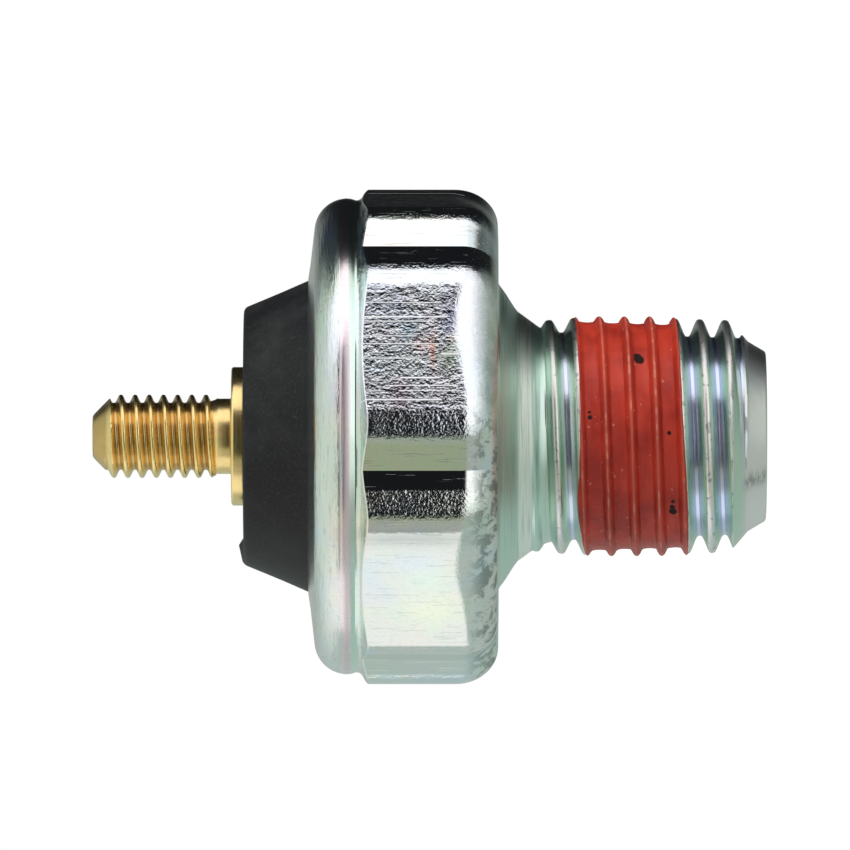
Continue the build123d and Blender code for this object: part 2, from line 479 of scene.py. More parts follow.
def geometry_tree(name, floats, counts):
    """A Geometry Nodes tree with named inputs, and its graph and input terms."""
    tree = bpy.data.node_groups.new(name, "GeometryNodeTree")
    sockets = [("Geometry", "NodeSocketGeometry")]
    sockets += [(label, "NodeSocketFloat") for label in floats]
    sockets += [(label, "NodeSocketInt") for label in counts]
    sockets += [("Material", "NodeSocketMaterial")]
    for label, kind in sockets:
        tree.interface.new_socket(label, in_out="INPUT", socket_type=kind)
    tree.interface.new_socket("Geometry", in_out="OUTPUT", socket_type="NodeSocketGeometry")
    graph = Graph(tree)
    entry = tree.nodes.new("NodeGroupInput")
    terms = {socket.name: Term(graph, socket) for socket in entry.outputs if socket.name}
    return graph, terms


def run_tree(piece, tree, values):
    """Runs a tree on an object and keeps the result as its plain mesh."""
    modifier = piece.modifiers.new(tree.name, "NODES")
    modifier.node_group = tree
    for item in tree.interface.items_tree:
        if item.in_out == "INPUT" and item.name in values:
            modifier[item.identifier] = values[item.name]
    scene_graph = bpy.context.evaluated_depsgraph_get()
    result = bpy.data.meshes.new_from_object(
        piece.evaluated_get(scene_graph), preserve_all_data_layers=True, depsgraph=scene_graph
    )
    piece.modifiers.remove(modifier)
    old = piece.data
    piece.data = result
    bpy.data.meshes.remove(old)


def labelled(sizes, names):
    """Settings as the inputs of a tree, each under its name there."""
    return {name.replace("_", " ").capitalize(): getattr(sizes, name) for name in names}


THREAD_FLOATS = (
    "Pitch", "Crest start", "Phase", "Crest radius", "Taper", "Depth", "Crest share", "Root share",
    "Softness", "Low end", "High end", "Low cap", "Low cap slope", "High cap", "High cap slope",
    "Low floor", "Low floor slope", "High floor", "High floor slope", "Run-out", "Run-out slope",
    "Crest top", "Crest limit", "Crest limit slope",
)
THREAD_COUNTS = ("Columns", "Rows")
THREAD_SETTINGS = (
    "pitch", "crest_start", "phase", "crest_radius", "depth", "crest_share", "root_share",
    "softness", "columns", "rows",
)


def thread_rise(graph, terms, turn, height):
    """1 along the middle of the crests of a right-hand thread, falling evenly to 0 in its roots."""
    travelled = (height - terms["Crest start"]) / terms["Pitch"]
    place = graph.maths("FRACT", travelled - (turn - terms["Phase"]) / (2 * pi))
    return graph.maths("ABSOLUTE", place - 0.5) * 2


def thread_wave(graph, terms, turn, height):
    """1 on the crests and 0 in the roots, with straight flanks and rounded corners."""
    rise = 1 - terms["Root share"] - terms["Crest share"]
    straight = graph.clamp((thread_rise(graph, terms, turn, height) - terms["Root share"]) / rise)
    rounded = straight * straight * (3 - 2 * straight)
    return straight + terms["Softness"] * (rounded - straight)


def thread_reach(graph, terms, turn, height):
    """Radius of the cut thread at an angle and a height, with its run-outs."""
    wave = thread_wave(graph, terms, turn, height)
    over_low = height - terms["Low end"]
    under_high = terms["High end"] - height
    cone = terms["Crest radius"] + terms["Taper"] * height
    limit = terms["Crest limit"] + terms["Crest limit slope"] * under_high
    crest = graph.smaller(graph.smaller(cone, terms["Crest top"]), limit)
    root = cone - terms["Depth"]
    cut = root + (crest - root) * wave
    low_cap = terms["Low cap"] + terms["Low cap slope"] * over_low
    high_cap = terms["High cap"] + terms["High cap slope"] * under_high
    capped = graph.smaller(graph.smaller(cut, low_cap), high_cap)
    low_floor = terms["Low floor"] - terms["Low floor slope"] * over_low
    high_floor = terms["High floor"] - terms["High floor slope"] * under_high
    run_out = terms["Run-out"] - terms["Run-out slope"] * under_high
    return graph.larger(graph.larger(capped, low_floor), graph.larger(high_floor, run_out))


def close_tree(graph, geometry, material):
    """Ends a tree: welds, realizes, sets the material and returns the tree."""
    welded = graph.term("GeometryNodeMergeByDistance", {"Geometry": geometry, "Distance": 2e-6})
    real = graph.term("GeometryNodeRealizeInstances", {0: welded})
    dressed = graph.term("GeometryNodeSetMaterial", {"Geometry": real, "Material": material})
    leave = graph.tree.nodes.new("NodeGroupOutput")
    graph.feed(leave.inputs[0], dressed)
    return graph.tree


def unit_grid(graph, columns, rows, tall):
    """A grid one unit wide, with its points' angle round the axis and their place along it."""
    inputs = {"Size X": 1.0, "Size Y": tall, "Vertices X": columns + 1, "Vertices Y": rows + 1}
    grid = graph.term("GeometryNodeMeshGrid", inputs, output="Mesh")
    across, along, _ = graph.parts(graph.term("GeometryNodeInputPosition"))
    return grid, (across + 0.5) * (2 * pi), along


def wrap_grid(graph, terms, grid, turn, reach, height):
    """Ends a tree: wraps its grid round the axis and joins it to the input mesh."""
    place = graph.vector(
        reach * graph.maths("COSINE", turn), reach * graph.maths("SINE", turn), height
    )
    tube = graph.term("GeometryNodeSetPosition", {"Geometry": grid, "Position": place})
    joined = graph.node("GeometryNodeJoinGeometry")
    graph.feed(joined.inputs[0], tube)
    graph.feed(joined.inputs[0], terms["Geometry"])
    return close_tree(graph, Term(graph, joined.outputs[0]), terms["Material"])


def thread_tree():
    """A tube that carries a thread, in rows that follow the helix, welded to the input mesh."""
    graph, terms = geometry_tree("cut_thread", THREAD_FLOATS, THREAD_COUNTS)
    low = terms["Low end"]
    high = terms["High end"]
    start = terms["Crest start"]
    pitch = terms["Pitch"]
    turns = graph.maths("CEIL", (high - low) / pitch) + 2
    grid, turn, along = unit_grid(graph, terms["Columns"], turns * terms["Rows"], 1.0)
    first = graph.maths("FLOOR", (low - start) / pitch - 1)
    helix = (along + 0.5) * turns + first + (turn - terms["Phase"]) / (2 * pi)
    height = graph.clamp(start + helix * pitch, low, high)
    return wrap_grid(graph, terms, grid, turn, thread_reach(graph, terms, turn, height), height)


def port_thread_values(port, body, material):
    """Inputs that cut the tapered port thread."""
    own = THREAD_SETTINGS + ("taper", "low_end", "high_end", "crest_top")
    return {
        **labelled(port, own),
        "Low cap": THREAD_START,
        "Low cap slope": 1.17,
        "High cap": 2 * port.crest_radius,
        "High cap slope": 0.0,
        "Low floor": 0.0,
        "Low floor slope": 0.0,
        "Run-out": 6.43 * MM,
        "Run-out slope": 0.3,
        "Crest limit": 6.376 * MM,
        "Crest limit slope": 0.086,
        "High floor": body.flare_waist - FLARE_SLOPE * (body.flare_waist_height - port.high_end),
        "High floor slope": FLARE_SLOPE,
        "Material": material,
    }


def sealant_tree():
    """A closed band over the thread, whose edges follow two crests and cross over at the back."""
    floats = THREAD_FLOATS + ("Film", "Fill", "Sag")
    counts = THREAD_COUNTS + ("Low crest", "High crest")
    graph, terms = geometry_tree("sealant_band", floats, counts)
    turns = terms["High crest"] - terms["Low crest"]
    grid, turn, along = unit_grid(graph, terms["Columns"], turns * terms["Rows"] * 2, 2.0)
    share_up = 1 - graph.maths("ABSOLUTE", along)
    outside = graph.maths("LESS_THAN", along, 0)

    back = turn - terms["Phase"]
    crossing = graph.step(back, radians(25), radians(150))
    lead = back / (2 * pi) - crossing

    front = back - radians(270)
    bulge = graph.falloff(front + radians(38), radians(28))
    wander = graph.noise(graph.vector(graph.maths("COSINE", turn), graph.maths("SINE", turn), 0), 2.2)
    low_edge = (terms["Low crest"] + lead) * terms["Pitch"] + terms["Crest start"]
    low_edge = low_edge - (0.06 + 0.17 * bulge + 0.12 * (wander - 0.5)) * MM
    high_edge = (terms["High crest"] + lead) * terms["Pitch"] + terms["Crest start"]
    high_edge = high_edge + (0.37 * bulge + 0.14 * (wander - 0.5)) * MM
    height = low_edge + (high_edge - low_edge) * share_up

    metal = thread_reach(graph, terms, turn, height)
    crest = terms["Crest radius"] + terms["Taper"] * height
    hollow = 1 - thread_wave(graph, terms, turn, height)
    filled = crest - terms["Fill"] - terms["Sag"] * hollow * hollow
    crown = graph.step(thread_rise(graph, terms, turn, height), 0.80, 1.0)
    level = graph.larger(metal + terms["Film"] * (1 + 1.6 * crown), filled)
    edge = graph.step(graph.smaller(share_up, 1 - share_up), 0.0, 0.012)
    under = metal - 0.012 * MM
    reach = under + (level - under) * edge * outside
    return wrap_grid(graph, terms, grid, turn, reach, height)


def spring_tree():
    """A coil of round wire that climbs from its foot."""
    floats = ("Mean radius", "Wire radius", "Foot", "Climb", "Turns")
    graph, terms = geometry_tree("spring_coil", floats, ("Steps", "Sides"))
    coil = graph.term("GeometryNodeCurveSpiral", {
        "Resolution": terms["Steps"],
        "Rotations": terms["Turns"],
        "Start Radius": terms["Mean radius"],
        "End Radius": terms["Mean radius"],
        "Height": terms["Climb"],
    })
    circle = {"Resolution": terms["Sides"], "Radius": terms["Wire radius"]}
    wire = graph.term("GeometryNodeCurvePrimitiveCircle", circle)
    sweep = {"Curve": coil, "Profile Curve": wire, "Fill Caps": True}
    tube = graph.term("GeometryNodeCurveToMesh", sweep)
    move = {"Geometry": tube, "Translation": graph.vector(0, 0, terms["Foot"])}
    placed = graph.term("GeometryNodeTransform", move)
    return close_tree(graph, placed, terms["Material"])


# Finishes


def new_finish(name):
    """An empty material with its graph, object coordinates and shader node."""
    material = bpy.data.materials.new(name)
    material.use_nodes = True
    graph = Graph(material.node_tree)
    shader = material.node_tree.nodes["Principled BSDF"]
    place = graph.term("ShaderNodeTexCoord", output="Object")
    return material, graph, place, shader


def bumped(graph, shader, height, distance):
    """Feeds the shader's normal from a height."""
    inputs = {"Height": height, "Distance": distance, "Strength": 1.0}
    graph.feed(shader.inputs["Normal"], graph.term("ShaderNodeBump", inputs))


# directions of the worn shoulder, the dull band and the grime on the end, in degrees
WORN_SIDE = -125
DULL_SIDE = -110
END_GRIME = -109.7
SCRATCHES = (
    # angle of the flat, place across it, lowest and highest point, width, in degrees and millimetres
    (-60, 2.58, 18.2, 22.5, 0.022),
    (-60, 1.73, 17.9, 22.6, 0.045),
    (-60, 1.47, 18.6, 22.2, 0.025),
    (-60, 0.59, 19.6, 22.6, 0.02),
    (-60, 0.12, 18.4, 22.6, 0.028),
    (-60, -0.47, 17.25, 18.15, 0.075),
    (-60, -0.74, 19.4, 22.6, 0.03),
    (-60, -1.9, 18.3, 20.4, 0.05),
    (-60, -2.37, 17.3, 21.0, 0.03),
    (-60, -2.67, 17.1, 20.5, 0.02),
    (-60, -3.21, 18.2, 22.6, 0.055),
    (-120, 3.3, 17.2, 22.4, 0.04),
    (-120, 3.0, 17.6, 22.5, 0.025),
    (0, 2.1, 16.9, 22.2, 0.03),
    (60, -1.4, 17.5, 22.5, 0.04),
    (120, 0.9, 18.0, 21.5, 0.03),
    (180, -2.6, 17.2, 22.4, 0.04),
)
STAINS = (
    # angle of the flat, place across it, height, spread across and along, colour
    (-60, 0.75, 20.0, 0.8, 0.5, (0.42, 0.62, 0.74)),
    (-60, 0.1, 19.2, 0.5, 0.75, (0.74, 0.50, 0.46)),
    (-60, -0.3, 18.65, 0.95, 0.17, (0.88, 0.38, 0.22)),
    (-60, -0.55, 17.8, 0.9, 0.55, (0.26, 0.36, 0.20)),
    (-60, 0.45, 17.6, 0.3, 0.22, (0.94, 0.80, 0.58)),
    (-60, 1.6, 17.75, 1.2, 0.4, (0.42, 0.44, 0.70)),
    (-60, -2.9, 20.4, 1.0, 0.6, (0.46, 0.30, 0.40)),
    (-120, 3.35, 19.6, 0.55, 5.0, (0.42, 0.45, 0.43)),
    (-120, 1.6, 19.8, 0.8, 1.3, (0.74, 0.82, 0.95)),
    (-120, -1.6, 18.8, 1.1, 1.6, (0.95, 0.94, 0.72)),
    (-120, 0.4, 19.0, 0.9, 1.4, (0.78, 0.93, 0.82)),
)


def flat_place(graph, x, y, heading, near=12.6, far=12.9):
    """Place across the side at an angle, and a smooth rise to 1 that way.

    The rise lies between two distances in millimetres, which are a flat's unless given.
    """
    turn = radians(heading)
    across = cos(turn) * y - sin(turn) * x
    facing = graph.past(cos(turn) * x + sin(turn) * y, near, far)
    return across, facing


def over_crests(graph, z, reach):
    """How far a point lies outside the cone of the port thread's crests."""
    return reach - graph.smaller(6.44 * MM + z / 32, 6.64 * MM)


def zinc_marks(graph, x, y, z):
    """1 on the long scratches of the flats."""
    marks = 0
    for heading, middle, low, high, width in SCRATCHES:
        across, facing = flat_place(graph, x, y, heading)
        line = graph.falloff(across - middle * MM, width * MM)
        begin = graph.past(z, low - 0.1, low)
        end = 1 - graph.past(z, high, high + 0.1)
        marks = line * begin * end * facing + marks
    return graph.smaller(marks, 1)


def zinc_zones(graph, x, y, z, reach, heading):
    """Shares of the body's surface, each 1 on its own stretch."""
    flat = graph.maths("FRACT", heading / radians(60) + 0.5) - 0.5
    offset = flat * radians(60) * reach
    aside = graph.maths("ABSOLUTE", offset)
    hexagon = graph.past(z, 15.03, 15.12) * graph.past(reach, 8.7, 9.0)
    collar = graph.past(z, 22.75, 22.88)
    roll = graph.past(z, 23.80, 23.86)
    wall = hexagon * (1 - collar)
    over_thread = graph.past(z, 12.15, 12.6)
    _, calm = flat_place(graph, x, y, -120)
    _, dull_side = flat_place(graph, x, y, DULL_SIDE, 6.5, 9.0)
    worn = graph.step(heading, radians(-103), radians(-101))
    worn = worn * (1 - graph.step(heading, radians(-94.8), radians(-93.8)))
    ridge = graph.past(offset, 4.3, 4.9) + graph.past(-offset, 3.5, 4.1) * (1 - calm)
    return {
        "wall": wall,
        "band": collar * (1 - roll),
        "roll": roll,
        "dull": graph.falloff(z - 23.41 * MM, 0.17 * MM) * dull_side,
        "shoulder": wall * (1 - graph.past(z, 15.6, 17.0)),
        "foot": wall * (1 - graph.past(z, 15.1, 15.6)),
        "calm": calm,
        "flat": wall * graph.larger(1 - graph.past(aside, 5.2, 5.8), worn),
        "ridge": wall * ridge,
        "thread": graph.past(z, 1.1, 1.5) * (1 - over_thread),
        "end": 1 - graph.past(z, 1.2, 1.5),
        "neck": over_thread * (1 - hexagon),
        # painted highlight: the stretch of the flare's waist that is coloured near white
        "waist": graph.past(z, 13.1, 13.2) * (1 - graph.past(z, 13.8, 13.95)),
    }


def zinc_colour(graph, tint, place, where, zones, marks, grains):
    """Plating colour: faint rainbow patches, stains, dirt, the wear of thread and neck, and a painted
    highlight band round the flare's waist.
    """
    x, y, z, reach, heading = where
    patch, lines, streaks = grains
    speck = graph.noise(place, 9000, 2, 0.7)
    fine = graph.noise(graph.vector(x, y, z * 0.6), 5200, 3, 0.7)
    blue = graph.step(graph.noise(place, 330, 2, 0.5), 0.5, 0.66)
    warm = graph.step(graph.noise(graph.vector(y, z, x), 240, 2, 0.5), 0.5, 0.68)
    green = graph.step(graph.noise(graph.vector(z, x, y), 290, 2, 0.5), 0.48, 0.66)
    _, cool_flat = flat_place(graph, x, y, -60)
    layers = [
        (green * 0.5, (0.72, 0.84, 0.72)),
        (blue * 0.5, (0.68, 0.78, 0.90)),
        (warm * 0.45, (0.88, 0.78, 0.74)),
        (cool_flat * 0.4, (0.74, 0.76, 0.92)),
    ]
    for side, middle, height, spread, rise, stain in STAINS:
        across, facing = flat_place(graph, x, y, side)
        spot = graph.falloff(across - middle * MM, spread * MM)
        spot = spot * graph.falloff(z - height * MM, rise * MM) * facing
        layers.append((spot * (0.55 + 0.5 * (patch - 0.5)), stain))

    foot = zones["band"] * (1 - graph.past(z, 23.1, 23.5))
    smudge = graph.step(graph.noise(place, 900, 4, 0.75, 0.4), 0.45, 0.56)
    _, worn_side = flat_place(graph, x, y, WORN_SIDE, 7.5, 10.5)
    smudge = smudge * (0.25 + 0.75 * worn_side)
    grime = graph.falloff(heading - radians(END_GRIME), radians(5)) * graph.step(streaks, 0.3, 0.6)
    layers += [
        (foot * 0.6, (0.60, 0.84, 0.70)),
        ((zones["band"] - foot) * 0.6, (0.88, 0.72, 0.78)),
        (zones["dull"] * 0.8, (0.80, 0.66, 0.70)),
        (graph.step(speck, 0.66, 0.74) * 0.5, (0.32, 0.35, 0.36)),
        (zones["roll"] * graph.step(streaks, 0.5, 0.72) * 0.45, (0.40, 0.44, 0.42)),
        (zones["shoulder"] * smudge * 0.8, (0.22, 0.25, 0.24)),
        (zones["neck"] * 0.6, (0.52, 0.76, 0.68)),
        (zones["end"] * 0.6, (0.92, 0.84, 0.86)),
        (zones["end"] * grime * 0.7, (0.22, 0.23, 0.23)),
        (zones["calm"] * graph.step(fine, 0.48, 0.66) * 0.22, (0.52, 0.60, 0.58)),
        # painted highlight: the flare's waist is coloured near white so that it shows as a bright
        # band
        (zones["waist"] * 0.8, (0.98, 0.98, 0.92)),
        (zones["neck"] * graph.step(lines, 0.5, 0.7) * 0.5, (0.36, 0.42, 0.38)),
    ]

    # colours change with the depth in the groove, and the crests are rubbed and chipped
    over = over_crests(graph, z, reach)
    crest = graph.past(over, -0.2, -0.06) * zones["thread"]
    root = (1 - graph.past(over, -0.86, -0.66)) * zones["thread"]
    flank = zones["thread"] * (1 - crest) * (1 - root)
    chip = graph.step(graph.noise(place, 2600, 2, 0.6), 0.56, 0.66) * crest
    layers += [
        (root * 0.65, (0.60, 0.66, 0.88)),
        (flank * (0.4 + 0.5 * patch), (0.52, 0.72, 0.58)),
        (crest * 0.5, (0.84, 0.74, 0.74)),
        (chip * 0.6, (0.24, 0.27, 0.28)),
        (marks * 0.8, (0.95, 0.95, 0.97)),
    ]
    return graph.layered(tint, layers), crest


def zinc_finish(tint):
    """Zinc plated steel: bright mottled flats with scratches, brushed roll, turned neck."""
    material, graph, place, shader = new_finish("zinc_plated_steel")
    where = graph.polar(place)
    x, y, z, reach, heading = where
    mottle = graph.noise(place, 6600, 2, 0.55)
    blotch = graph.noise(place, 2400, 2, 0.55)
    patch = graph.noise(place, 420, 3, 0.55)
    along = graph.noise(graph.vector(x * 9000, y * 9000, z * 260), 1, 2, 0.6)
    scratch = graph.step(along, 0.63, 0.68)
    lines = graph.noise(graph.vector(reach * 7000, z * 7000, heading * 1.2), 1, 2, 0.7)
    streaks = graph.noise(graph.vector(reach * 5200, z * 5200, heading * 9), 1, 3, 0.7)
    zones = zinc_zones(graph, *where)
    marks = zinc_marks(graph, x, y, z)
    base, crest = zinc_colour(graph, tint, place, where, zones, marks, (patch, lines, streaks))

    rough = 0.05 + 0.04 * patch + 0.13 * zones["roll"] + 0.10 * zones["band"]
    rough = rough + 0.26 * zones["neck"] + 0.27 * zones["end"] + 0.12 * zones["dull"]
    rough = rough + zones["thread"] * (0.17 + 0.14 * crest) + 0.06 * scratch * zones["wall"]
    rough = rough + 0.3 * marks + 0.16 * zones["shoulder"] + 0.25 * zones["foot"]
    metallic = 1 - graph.larger(0.6 * marks, 0.6 * zones["dull"])
    graph.fill(shader, {"Base Color": base, "Metallic": metallic, "Roughness": rough})

    # one flat in the photograph is much calmer than the others
    wear = 1 + 1.3 * zones["ridge"] - 0.65 * zones["calm"] * (1 - zones["ridge"])
    wear = wear * (1 - 0.7 * zones["shoulder"])
    height = zones["flat"] * wear * (mottle * 12.0 + blotch * 14.0)
    height = height + zones["wall"] * (scratch * 2.5 + patch * 3.0)
    height = height + zones["band"] * (lines * 11.0 + blotch * 3.0)
    height = height + zones["roll"] * (streaks * 34.0 + mottle * 2.0)
    height = height + zones["neck"] * (lines * 18.0 + blotch * 6.0)
    height = height + zones["thread"] * (lines * 4.0 + mottle * 4.0 + crest * mottle * 10.0)
    height = height + zones["end"] * (mottle * 3.0 + patch * 40.0)
    bumped(graph, shader, height, 0.001 * MM)
    return material


PITS = (
    # angle round the axis, height and radius, in degrees and millimetres
    (-39.3, 7.14, 0.24),
    (-36.6, 7.24, 0.14),
    (-124.1, 5.26, 0.17),
    (-121.0, 5.29, 0.10),
    (-117.5, 5.27, 0.06),
    (-80.2, 5.48, 0.05),
    (-72.4, 9.90, 0.08),
    (-69.8, 9.94, 0.06),
    (12, 8.3, 0.12),
    (74, 5.9, 0.2),
    (131, 8.8, 0.14),
    (178, 6.5, 0.22),
)


def sealant_finish(tint):
    """Dried red sealant, satin, with pits whose dark is painted shade, and a pale line along the
    crests that is partly a rubbed film and partly a painted highlight.
    """
    material, graph, place, shader = new_finish("red_sealant")
    x, y, z, reach, heading = graph.polar(place)
    patch = graph.noise(place, 420, 3, 0.6)
    grain = graph.noise(place, 2500, 2, 0.6)
    runs = graph.noise(graph.vector(reach * 900, z * 2600, heading * 1.5), 1, 2, 0.6)
    crest = graph.past(over_crests(graph, z, reach), 0.055, 0.085)
    # pale along the crests: partly a rubbed film, partly a painted highlight
    rub_and_highlight = crest * (0.35 + 0.65 * graph.step(graph.noise(place, 1100, 2, 0.6), 0.5, 0.66))
    fleck = graph.step(graph.noise(place, 3300, 1, 0.5), 0.72, 0.78)
    # each pit is only a shallow bump; its near-black colour is painted shade in the hollow
    pit_and_shade = 0
    for side, height, radius in PITS:
        across, facing = flat_place(graph, x, y, side, 4, 5)
        rise = z - height * MM
        gap = graph.maths("SQRT", across * across + rise * rise) + (grain - 0.5) * 0.2 * MM
        hole = 1 - graph.past(gap, radius, radius + 0.08)
        pit_and_shade = graph.larger(hole * facing, pit_and_shade)
    base = graph.layered(tint, (
        (graph.step(patch, 0.35, 0.7), (0.34, 0.022, 0.012)),
        (graph.step(runs, 0.52, 0.7) * 0.35, (0.30, 0.018, 0.012)),
        # partly rubbed film, partly painted highlight along the crests
        (rub_and_highlight * 0.6, (0.80, 0.34, 0.24)),
        (fleck * 0.5, (0.78, 0.34, 0.26)),
        # painted shade: near black inside the pits
        (pit_and_shade, (0.014, 0.006, 0.005)),
    ))
    rough = 0.42 + 0.2 * (grain - 0.5) + 0.4 * pit_and_shade
    graph.fill(shader, {"Base Color": base, "Roughness": rough, "Specular IOR Level": 0.35})
    bumped(graph, shader, patch * 1.4 + grain * 0.5 + fleck * 0.3 - pit_and_shade * 0.8, 0.03 * MM)
    return material


def moulding_finish(tint):
    """Black moulding, matt, with a faint grey bloom."""
    material, graph, place, shader = new_finish("black_moulding")
    patch = graph.noise(place, 300, 3, 0.6)
    grain = graph.noise(place, 6000, 2, 0.6)
    dust = graph.step(graph.noise(place, 3400, 2, 0.6), 0.68, 0.74)
    base = graph.layered(tint, (
        (graph.step(patch, 0.4, 0.75), (0.026, 0.026, 0.027)),
        (graph.step(grain, 0.52, 0.72) * 0.4, (0.040, 0.040, 0.042)),
        (dust * 0.3, (0.10, 0.10, 0.10)),
    ))
    rough = 0.46 + 0.2 * patch
    graph.fill(shader, {"Base Color": base, "Roughness": rough, "Specular IOR Level": 0.3})
    bumped(graph, shader, grain, 0.01 * MM)
    return material


def brass_finish(name, tint):
    """Turned brass with browned patches."""
    material, graph, place, shader = new_finish(name)
    _, _, z, reach, _ = graph.polar(place)
    patch = graph.noise(place, 500, 3, 0.6)
    grain = graph.noise(place, 4000, 2, 0.6)
    turned = graph.noise(graph.vector(reach * 6500, z * 6500, 0), 1, 2, 0.6)
    groove = 1 - graph.past(reach, 1.86, 2.1)
    base = graph.layered(tint, (
        (graph.step(patch, 0.5, 0.8) * 0.5, (0.66, 0.42, 0.15)),
        (groove * 0.55, (0.42, 0.22, 0.06)),
    ))
    rough = 0.16 + 0.18 * patch
    graph.fill(shader, {"Base Color": base, "Metallic": 1.0, "Roughness": rough})
    bumped(graph, shader, grain + turned, 0.004 * MM)
    return material


def plain_finish(name, tint, metallic, roughness, scale):
    """A finish for an inner piece: mottled colour, roughness and a fine grain."""
    material, graph, place, shader = new_finish(name)
    patch = graph.noise(place, scale, 3, 0.6)
    base = graph.layered(tint, [(patch, [0.7 * part for part in tint])])
    rough = roughness + 0.15 * (patch - 0.5)
    graph.fill(shader, {"Base Color": base, "Metallic": metallic, "Roughness": rough})
    bumped(graph, shader, patch, 0.01 * MM)
    return material


# Pieces


def lobed_half(sizes, apothem):
    """Points from the middle of a flat to the middle of the next V groove."""
    ridge_radius = apothem / cos(sizes.ridge_angle)
    ridge = Vector((apothem, apothem * tan(sizes.ridge_angle)))
    valley_radius = ridge_radius - sizes.valley_depth
    valley = Vector((valley_radius * cos(radians(30)), valley_radius * sin(radians(30))))
    fall = valley - ridge
    turn = atan2(fall.y, fall.x) - radians(90)
    tangent = sizes.ridge_round * tan(turn / 2)
    centre = Vector((apothem - sizes.ridge_round, ridge.y - tangent))
    flat_steps = 7
    round_steps = 11
    side_steps = 6

    def rounded(bend):
        return centre + sizes.ridge_round * Vector((cos(bend), sin(bend)))

    points = [Vector((apothem, centre.y * index / flat_steps)) for index in range(flat_steps)]
    points += [rounded(turn * index / round_steps) for index in range(round_steps)]
    points += [rounded(turn).lerp(valley, index / side_steps) for index in range(side_steps + 1)]
    return points


def lobed_outline(sizes, apothem):
    """Angles and radii of the lobed hexagon, counted from the middle of the flat at +X."""
    half = lobed_half(sizes, apothem)
    steps = len(half) - 1
    outline = []
    for flat in range(6):
        for index in range(-steps, steps):
            point = half[abs(index)]
            side = atan2(point.y, point.x) * (1 if index >= 0 else -1)
            outline.append((radians(60 * flat) + side, point.length))
    outline = outline[steps:] + outline[:steps]
    return [turn % (2 * pi) for turn, _ in outline], [reach for _, reach in outline]


